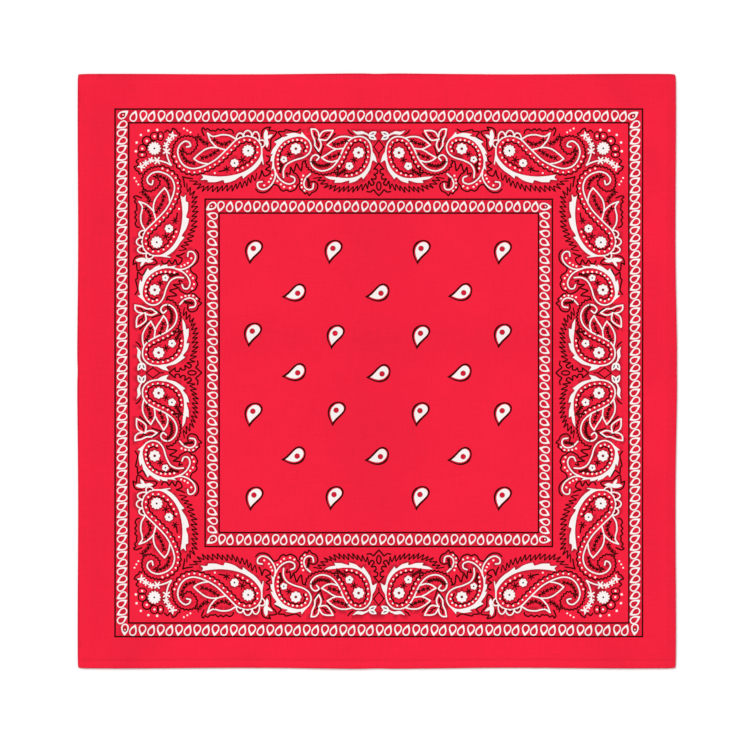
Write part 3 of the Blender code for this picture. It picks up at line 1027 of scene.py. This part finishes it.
def loose_points(outlines, step, seams):
    """Points inside the cloth: rows along the hems, and an open grid where no outline runs."""
    columns, along_x, open_x = stops(("left", "right"), HALF.real, step, seams)
    lines, along_y, open_y = stops(("bottom", "top"), HALF.imag, step, seams)
    rows = [crossings(columns, lines), crossings(along_x, lines), crossings(columns, along_y)]
    grid = crossings(open_x, open_y)
    if seams:
        rows.append(clear_of(outlines, grid[~in_band(grid)], NEAR_OUTLINE))
        across = np.arange(BAND_GRID / 2.0 - BAND_FRAME, BAND_FRAME, BAND_GRID)
        grid = crossings(across, across) + PRINT_MIDDLE
        return np.concatenate(rows + [clear_of(outlines, grid[in_band(grid)], NEAR_BAND_OUTLINE)])
    return np.concatenate(rows + [clear_of(outlines, grid, NEAR_OUTLINE)])


def in_band(spots):
    """Whether each spot lies in the band of paisleys."""
    away = spots - PRINT_MIDDLE
    reach = np.maximum(np.abs(away.real), np.abs(away.imag))
    return (reach > INNER_FRAME) & (reach < BAND_FRAME)


def clear_of(outlines, spots, cell):
    """The spots that share no square cell with an outline's point."""
    taken = {spot for outline in outlines for spot in np.round(outline / cell).tolist()}
    return spots[[spot not in taken for spot in np.round(spots / cell).tolist()]]


def triangulate(edge, shapes, step, seams):
    """Triangles over the square with every outline among their sides.

    Returns the points, whether each has a halo, the triangles and their inks."""
    outlines = [edge] + [outline for shape in shapes for outline in shape.loops]
    sides = []
    start = 0
    for outline in outlines:
        numbers = np.arange(len(outline))
        sides.append(start + np.stack([numbers, np.roll(numbers, -1)], axis=1))
        start += len(outline)
    loose = loose_points(outlines[1:], step, seams)
    spots = np.concatenate(outlines + [loose])
    printed = [np.full(len(outline), shape.ink != BLACK and np.ptp(outline.real) > HALO_LEAST)
               for shape in shapes for outline in shape.loops]
    printed = np.concatenate([np.zeros(len(edge), bool)] + printed + [np.zeros(len(loose), bool)])
    found = delaunay_2d_cdt(list(zip(spots.real.tolist(), spots.imag.tolist())),
                            np.concatenate(sides).tolist(), [], 0, MERGE_DISTANCE, True)
    points = np.array([complex(*vertex) for vertex in found[0]])
    haloed = np.array([bool(printed[origin].any()) for origin in found[3]])
    triangles = np.array(found[2])
    return points, haloed, triangles, inks_at(points[triangles].mean(axis=1), shapes)


def inks_at(spots, shapes):
    """The ink on top at each spot, as its place in INKS; later shapes cover earlier ones."""
    order = np.argsort(spots.real)
    across = spots.real[order]
    ink = np.zeros(len(spots), int)
    for shape in shapes:
        outline = np.concatenate(shape.loops)
        first = np.searchsorted(across, outline.real.min())
        last = np.searchsorted(across, outline.real.max())
        near = order[first:last]
        height = spots[near].imag
        near = near[(height > outline.imag.min()) & (height < outline.imag.max())]
        ink[near[inside(spots[near], shape.loops)]] = INKS.index(shape.ink)
    return ink


def inside(spots, outlines):
    """Whether the outlines wind round each spot."""
    turns = np.zeros(len(spots), int)
    spot = spots[:, None]
    for outline in outlines:
        start = outline[None, :]
        end = np.roll(outline, -1)[None, :]
        rising = (start.imag <= spot.imag) & (end.imag > spot.imag)
        falling = (end.imag <= spot.imag) & (start.imag > spot.imag)
        on_left = (np.conj(end - start) * (spot - start)).imag > 0.0
        turns += (rising & on_left).sum(axis=1) - (falling & ~on_left).sum(axis=1)
    return turns != 0


def coarse(shapes):
    """The larger shapes of the print with fewer points, for the underside."""
    large = [shape for shape in shapes
             if min(np.ptp(shape.loops[0].real), np.ptp(shape.loops[0].imag)) > UNDER_LEAST]
    return changed(large, lambda loop: close(loop, UNDER_TOLERANCE))


def in_metres(spots):
    """Flat places as x and y in metres."""
    return spots.real * MM, spots.imag * MM


def edge_rings(top):
    """Rings of points round the turned edge, from under the face's border to inside the roll.

    top is the face's height at each point of its border. Returns the rings and their heights."""
    middle = (top + LIP_LOW) / 2.0
    half = (top - LIP_LOW) / 2.0
    level = np.ones_like(top)
    rings = [(border(ROLL_RADIUS * (1.0 - math.cos(angle)) / MM), middle + half * math.sin(angle))
             for angle in np.radians(ROLL_ANGLES)]
    inner = ((LIP_REACH, LIP_LOW), (LIP_REACH, LIP_HIGH), INNER_ROLL)
    rings += [(border(inset / MM), height * level) for inset, height in inner]
    return zip(*rings)


def quads(near, far):
    """Four-cornered faces between two closed rows, from the numbers or places of their points."""
    return np.stack([near, np.roll(near, -1, axis=-1), np.roll(far, -1, axis=-1), far], axis=-1)


def numbers_of(edge, points):
    """The numbers that an edge's points have among all the points."""
    return np.array([np.argmin(np.abs(points - spot)) for spot in edge])


def cloth_piece(shapes, materials):
    """The cloth as one closed shell: printed face, rolled edge, and underside with the print faded."""
    edge = border(ROLL_RADIUS / MM)
    inner_edge = border(UNDER_START / MM)
    face, haloed, face_triangles, face_ink = triangulate(edge, shapes, EDGE_STEP, True)
    under, _, under_triangles, under_ink = triangulate(inner_edge, coarse(shapes), UNDER_STEP, False)
    rings, ring_heights = edge_rings(face_height(*in_metres(edge)))

    flat = np.concatenate([face, *rings, under])
    heights = np.concatenate(
        [face_height(*in_metres(face)), *ring_heights, under_height(*in_metres(under))])
    x, y = place(*in_metres(flat))
    first_under = len(flat) - len(under)

    around = [numbers_of(edge, face)]
    around += [len(face) + k * len(edge) + np.arange(len(edge)) for k in range(len(rings))]
    around.append(first_under + numbers_of(inner_edge, under))
    faces = face_triangles.tolist()
    numbers = [face_ink]
    corners = [on_map(face[face_triangles], face_ink[:, None])]
    rim = border(0.0)
    for k, (upper, lower) in enumerate(zip(around, around[1:])):
        outer = rim * (1.0 + (k + 2) * RING_SPREAD)
        inner = rim * (1.0 + (k + 1) * RING_SPREAD)
        faces += quads(upper, lower)[:, FACING_OUT].tolist()
        numbers.append(np.zeros(len(upper), int))
        corners.append(on_map(quads(inner, outer)[:, FACING_OUT], 0))
    faces += (first_under + under_triangles[:, ::-1]).tolist()
    numbers.append(len(INKS) + under_ink)
    corners.append(on_map(under[under_triangles[:, ::-1]], UNDER_AREA))
    cloth = add_piece("cloth", np.stack([x, y, heights], axis=1), faces, materials,
                      np.concatenate(numbers), np.concatenate(corners))
    halo = np.zeros(len(flat))
    halo[:len(face)] = haloed * np.where(in_band(face), BAND_HALO, RIBBON_HALO)
    # Store at each point the painted shade and light of the shade bands, and the halo
    for name, values in ((PAINTED_SHADE, sum(band_amount(band, x, y) for band in PAINTED_SHADES)), (HALO, halo)):
        layer = cloth.data.attributes.new(name, "FLOAT", "POINT")
        layer.data.foreach_set("value", values.astype(np.float32))
    return cloth


def on_map(spots, area):
    """Corners of faces on the bake map, one row each: their flat places, drawn small in an area."""
    centre = np.array(BAKE_AREAS)[np.broadcast_to(area, spots.shape)]
    spread = np.stack([spots.real, spots.imag], axis=-1) / (2.0 * BAKE_SPAN)
    return (centre + spread).reshape(-1, 2)


def add_piece(name, points, faces, materials, numbers=None, corners=None):
    """A smooth-shaded mesh piece that rides on the body; numbers are its faces' materials."""
    mesh = bpy.data.meshes.new(name)
    mesh.from_pydata(points.tolist(), [], faces)
    for material in materials:
        mesh.materials.append(material)
    if numbers is not None:
        mesh.polygons.foreach_set("material_index", numbers)
    if corners is not None:
        layer = mesh.uv_layers.new(name=BAKE_MAP)
        layer.data.foreach_set("uv", corners.astype(np.float32).ravel())
    mesh.shade_smooth()
    mesh.update()
    piece = bpy.data.objects.new(name, mesh)
    bpy.context.scene.collection.objects.link(piece)
    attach(piece, "root")
    return piece


def hem_section(width):
    """A folded strip of cloth, as (distance from the edge, height), once round."""
    middle = (HEM_LOW + HEM_HIGH) / 2.0
    radius = (HEM_HIGH - HEM_LOW) / 2.0
    fold = width - radius
    outside = [(fold + radius * math.sin(turn), middle - radius * math.cos(turn))
               for turn in np.linspace(0.0, math.pi, 7)]
    return np.array([(HEM_START, HEM_LOW)] + outside + [
        (HEM_START, HEM_HIGH),
        (HEM_START, middle + LAYER_GAP / 2.0),
        (fold, middle + LAYER_GAP / 2.0),
        (fold + LAYER_GAP, middle),
        (fold, middle - LAYER_GAP / 2.0),
        (HEM_START, middle - LAYER_GAP / 2.0),
    ])


def hem_ends(side):
    """Where a hem starts and ends: top and bottom run corner to corner, the others between them."""
    if side not in UPRIGHT:
        reach = CLOTH_WIDTH / 2.0 - HEM_START
        return -reach, reach
    low = -CLOTH_HEIGHT / 2.0 + EDGES["bottom"].hem_width + SIDE_HEM_GAP
    high = CLOTH_HEIGHT / 2.0 - EDGES["top"].hem_width - SIDE_HEM_GAP
    return low, high


def hem_piece(side, material):
    """A hem: a folded strip carried along its side, its inner fold a little uneven."""
    low, high = hem_ends(side)
    along = np.linspace(low, high, round((high - low) / HEM_STEP) + 1)
    section = hem_section(EDGES[side].hem_width)
    count = len(section)
    share = np.clip(section[:, 0] / EDGES[side].hem_width, 0.0, 1.0)
    distance = section[None, :, 0] + HEM_WANDER * share[None, :] * pucker(side, along)[:, None]
    x, y = hem_point(side, along[:, None], distance)
    height = np.broadcast_to(section[None, :, 1], x.shape)
    points = np.stack([x, y, height], axis=-1).reshape(-1, 3)
    ring = np.arange(count)
    faces = []
    for k in range(len(along) - 1):
        near = k * count + ring
        faces += quads(near, near + count).tolist()
    faces += [ring[::-1].tolist(), ((len(along) - 1) * count + ring).tolist()]
    if side in ("right", "bottom"):
        faces = [face[::-1] for face in faces]
    piece = add_piece("hem_strip_" + side, points, faces, [material])
    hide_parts("hem_" + side)
    return piece


def seam_piece(side, material):
    """A row of stitches through the cloth and its hem: thread on the face and on the underside."""
    reach = (CLOTH_HEIGHT if side in UPRIGHT else CLOTH_WIDTH) / 2.0
    starts = np.arange(SEAM_END - reach, reach - SEAM_END - STITCH, STITCH + STITCH_GAP)
    along = starts[:, None] + STITCH * STITCH_STEPS
    distance = np.full_like(along, seam_distance(side))
    straight_x, straight_y = straight_point(side, along, distance)
    above = face_height(straight_x, straight_y) + THREAD_RADIUS * STITCH_ABOVE
    x, y = place(straight_x, straight_y)
    below = np.broadcast_to(HEM_LOW + THREAD_RADIUS * STITCH_BELOW, x.shape)
    points, faces = threads(np.stack([x, y, above], axis=-1), side, 0)
    shifted_x, shifted_y = hem_point(side, along + (STITCH + STITCH_GAP) / 2.0, distance)
    more, others = threads(np.stack([shifted_x, shifted_y, below], axis=-1), side, len(points))
    points = np.concatenate([points, more])
    return add_piece("stitches_" + side, points, faces + others, [material])


def threads(paths, side, first):
    """Short thick threads along paths, an array of (stitches, points, 3)."""
    turn = math.tau * np.arange(THREAD_SIDES) / THREAD_SIDES
    across = (1.0, 0.0) if side in UPRIGHT else (0.0, 1.0)
    ring = np.stack([across[0] * np.cos(turn), across[1] * np.cos(turn), np.sin(turn)], axis=-1)
    points = paths[:, :, None, :] + THREAD_RADIUS * STITCH_SWELL[:, None, None] * ring
    stitches, rings = paths.shape[:2]
    base = first + np.arange(stitches)[:, None] * rings * THREAD_SIDES
    around = np.arange(THREAD_SIDES)
    faces = []
    for k in range(rings - 1):
        near = base + k * THREAD_SIDES + around
        faces.append(quads(near, near + THREAD_SIDES))
    faces = np.concatenate(faces).reshape(-1, 4).tolist()
    last = (rings - 1) * THREAD_SIDES
    faces += (base + around[::-1]).tolist() + (base + last + around).tolist()
    if side in UPRIGHT:
        faces = [face[::-1] for face in faces]
    return points.reshape(-1, 3), faces


# ---------------------------------------------------------------- materials
THREAD_PITCH = 0.00040
BUMP_DISTANCE = 0.00009
SHADE_RANGE = (0.28, 0.58)     # the uneven shade's lowest and highest values
SLUB_STRETCH = 40.0            # how much longer than wide a thick thread's noise is
SLUB_SCALE = 45.0
CLOUD_SCALE = 24.0
GRAIN_SCALE = 700.0
SLUB_SHARE = 0.22              # of the uneven shade, and the same of its other layers
CLOUD_SHARE = 0.12
GRAIN_SHARE = 0.18
WEAVE_SHARE = 0.16
BUMP_STRENGTH = 0.6
SHEEN_ROUGHNESS = 0.5

Finish = namedtuple("Finish", "colour variation roughness specular sheen weave")
FINISHES = {
    "cotton_red": Finish((0.808, 0.0111, 0.0400), 0.12, 0.88, 0.12, 0.05, 0.9),
    "print_white": Finish((0.862, 0.802, 0.787), 0.05, 0.84, 0.12, 0.04, 0.7),
    "print_black": Finish((0.034, 0.002, 0.001), 0.35, 0.80, 0.03, 0.01, 0.7),
    "back_red": Finish((0.760, 0.025, 0.062), 0.14, 0.90, 0.12, 0.05, 0.9),
    "back_white": Finish((0.860, 0.430, 0.460), 0.14, 0.90, 0.12, 0.05, 0.9),
    "back_black": Finish((0.250, 0.020, 0.028), 0.30, 0.90, 0.10, 0.04, 0.9),
    "hem_red": Finish((0.805, 0.0115, 0.0410), 0.12, 0.88, 0.12, 0.05, 0.9),
    "thread_red": Finish((0.780, 0.0150, 0.0490), 0.10, 0.70, 0.20, 0.10, 0.0),
}


def add_node(tree, kind, inputs=(), **settings):
    """A shader node with its settings, its inputs set or linked; returns its first output."""
    node = tree.nodes.new("ShaderNode" + kind)
    for name, value in settings.items():
        setattr(node, name, value)
    for name, value in dict(inputs).items():
        if isinstance(value, bpy.types.NodeSocket):
            tree.links.new(value, node.inputs[name])
        else:
            node.inputs[name].default_value = value
    return node.outputs[0]


def maths(tree, operation, first, second=0.0):
    """One sum of two values."""
    return add_node(tree, "Math", {0: first, 1: second}, operation=operation)


def woven(tree, place_on):
    """Height of a plain weave: each thread rises over one crossing and dips under the next."""
    axes = tree.nodes.new("ShaderNodeSeparateXYZ")
    tree.links.new(place_on, axes.inputs[0])
    turn = math.pi / THREAD_PITCH
    warp = maths(tree, "SINE", maths(tree, "MULTIPLY", axes.outputs[0], turn))
    weft = maths(tree, "SINE", maths(tree, "MULTIPLY", axes.outputs[1], turn))
    over = maths(tree, "MULTIPLY", warp, weft)
    warp_height = maths(tree, "ADD", maths(tree, "ABSOLUTE", warp), over)
    weft_height = maths(tree, "SUBTRACT", maths(tree, "ABSOLUTE", weft), over)
    return maths(tree, "MULTIPLY", maths(tree, "MAXIMUM", warp_height, weft_height), 0.5)


def streaks(tree, place_on, stretch):
    """Uneven threads: noise drawn out along one direction."""
    drawn_out = add_node(tree, "Mapping", {"Vector": place_on, "Scale": stretch})
    return add_node(tree, "TexNoise", {"Vector": drawn_out, "Scale": SLUB_SCALE, "Detail": 2.0})


def cotton(name):
    """Dyed or printed cotton: its weave, thicker threads, slight random changes of shade, and painted
    shade and light where the mesh carries it.
    """
    finish = FINISHES[name]
    material = bpy.data.materials.new(name)
    material.use_nodes = True
    tree = material.node_tree
    shader = tree.nodes["Principled BSDF"]
    place_on = tree.nodes.new("ShaderNodeTexCoord").outputs["Object"]

    weave = woven(tree, place_on)
    slubs = maths(tree, "ADD", streaks(tree, place_on, (1.0, SLUB_STRETCH, 1.0)),
                  streaks(tree, place_on, (SLUB_STRETCH, 1.0, 1.0)))
    cloud = add_node(tree, "TexNoise", {"Vector": place_on, "Scale": CLOUD_SCALE, "Detail": 3.0})
    grain = add_node(tree, "TexNoise", {"Vector": place_on, "Scale": GRAIN_SCALE, "Detail": 2.0})
    shade = maths(tree, "MULTIPLY", slubs, SLUB_SHARE)
    for layer, share in ((cloud, CLOUD_SHARE), (grain, GRAIN_SHARE), (weave, WEAVE_SHARE)):
        shade = maths(tree, "ADD", shade, maths(tree, "MULTIPLY", layer, share))

    ramp = tree.nodes.new("ShaderNodeValToRGB")
    shares = (1.0 - finish.variation, 1.0 + finish.variation)
    for element, position, share in zip(ramp.color_ramp.elements, SHADE_RANGE, shares):
        element.position = position
        element.color = (*(min(1.0, value * share) for value in finish.colour), 1.0)
    tree.links.new(shade, ramp.inputs[0])
    # Lightness from the painted shade and light stored on the cloth's points, and for the red also the
    # halo
    lightness = 1.0
    for layer in (PAINTED_SHADE, HALO) if name == "cotton_red" else (PAINTED_SHADE,):
        stored = tree.nodes.new("ShaderNodeAttribute")
        stored.attribute_name = layer
        lightness = maths(tree, "ADD", stored.outputs["Fac"], lightness)
    colour = add_node(tree, "VectorMath", {0: ramp.outputs[0], "Scale": lightness}, operation="SCALE")
    tree.links.new(colour, shader.inputs["Base Color"])

    relief = maths(tree, "ADD", maths(tree, "MULTIPLY", weave, finish.weave), slubs)
    bump = add_node(tree, "Bump", {"Height": relief, "Strength": BUMP_STRENGTH, "Distance": BUMP_DISTANCE})
    tree.links.new(bump, shader.inputs["Normal"])
    shader.inputs["Roughness"].default_value = finish.roughness
    shader.inputs["Specular IOR Level"].default_value = finish.specular
    shader.inputs["Sheen Weight"].default_value = finish.sheen
    shader.inputs["Sheen Roughness"].default_value = SHEEN_ROUGHNESS
    material.diffuse_color = (*finish.colour, 1.0)
    return material


# ---------------------------------------------------------------- floor, light and camera
FLOOR_SIZE = 9.0
FLOOR_DROP = 0.0001
FLOOR_SHADE = 0.95
FLOOR_ROUGHNESS = 0.9
FLOOR_SPECULAR = 0.1
CAMERA_HEIGHT = 2.0
VIEW_WIDTH = 0.7024                       # across the picture, at the cloth's face
CAMERA_OVER = (-0.00193, -0.00368)
SENSOR_WIDTH = 36.0
SUN_STRENGTH = 2.35
SUN_SOFTNESS = 32.0
SUN_FROM = (-0.44, 0.50, 0.78)
SKY_STRENGTH = 0.55


def add_floor():
    """A plain pale floor under the cloth."""
    material = bpy.data.materials.new("floor")
    material.use_nodes = True
    tree = material.node_tree
    shader = tree.nodes["Principled BSDF"]
    shader.inputs["Base Color"].default_value = (FLOOR_SHADE, FLOOR_SHADE, FLOOR_SHADE, 1.0)
    shader.inputs["Roughness"].default_value = FLOOR_ROUGHNESS
    shader.inputs["Specular IOR Level"].default_value = FLOOR_SPECULAR
    half = FLOOR_SIZE / 2.0
    level = CAD_BOX[0].z - FLOOR_DROP
    mesh = bpy.data.meshes.new("floor")
    corners = [(x, y, level) for x, y in ((-half, -half), (half, -half), (half, half), (-half, half))]
    mesh.from_pydata(corners, [], [(0, 1, 2, 3)])
    mesh.materials.append(material)
    floor = bpy.data.objects.new("floor", mesh)
    bpy.context.scene.collection.objects.link(floor)


def add_light():
    """A soft key light from the upper left and an even white surrounding."""
    world = bpy.data.worlds.new("studio")
    world.use_nodes = True
    sky = world.node_tree.nodes["Background"]
    sky.inputs["Color"].default_value = (1.0, 1.0, 1.0, 1.0)
    sky.inputs["Strength"].default_value = SKY_STRENGTH
    bpy.context.scene.world = world
    sun = bpy.data.lights.new("key", "SUN")
    sun.energy = SUN_STRENGTH
    sun.angle = math.radians(SUN_SOFTNESS)
    lamp = bpy.data.objects.new("key", sun)
    lamp.rotation_euler = Vector(SUN_FROM).to_track_quat("Z", "Y").to_euler()
    bpy.context.scene.collection.objects.link(lamp)
    bpy.context.scene.view_settings.view_transform = "Standard"


def add_camera():
    """A camera straight above the cloth, at the photograph's place and distance."""
    camera = bpy.data.cameras.new("camera")
    camera.sensor_width = SENSOR_WIDTH
    camera.lens = SENSOR_WIDTH * CAMERA_HEIGHT / VIEW_WIDTH
    eye = bpy.data.objects.new("camera", camera)
    eye.location = (*CAMERA_OVER, LEVEL + CAMERA_HEIGHT)
    bpy.context.scene.collection.objects.link(eye)
    bpy.context.scene.camera = eye


def main():
    """Dress the model and set it in the studio."""
    inks = [cotton(name) for name in ("cotton_red", "print_white", "print_black")]
    backs = [cotton(name) for name in ("back_red", "back_white", "back_black")]
    hem_red = cotton("hem_red")
    thread_red = cotton("thread_red")
    cloth = cloth_piece(whole_print(), inks + backs)
    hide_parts("panel")
    hems = [hem_piece(side, hem_red) for side in EDGES]
    seams = [seam_piece(side, thread_red) for side in EDGES]
    add_floor()
    add_light()
    add_camera()


main()
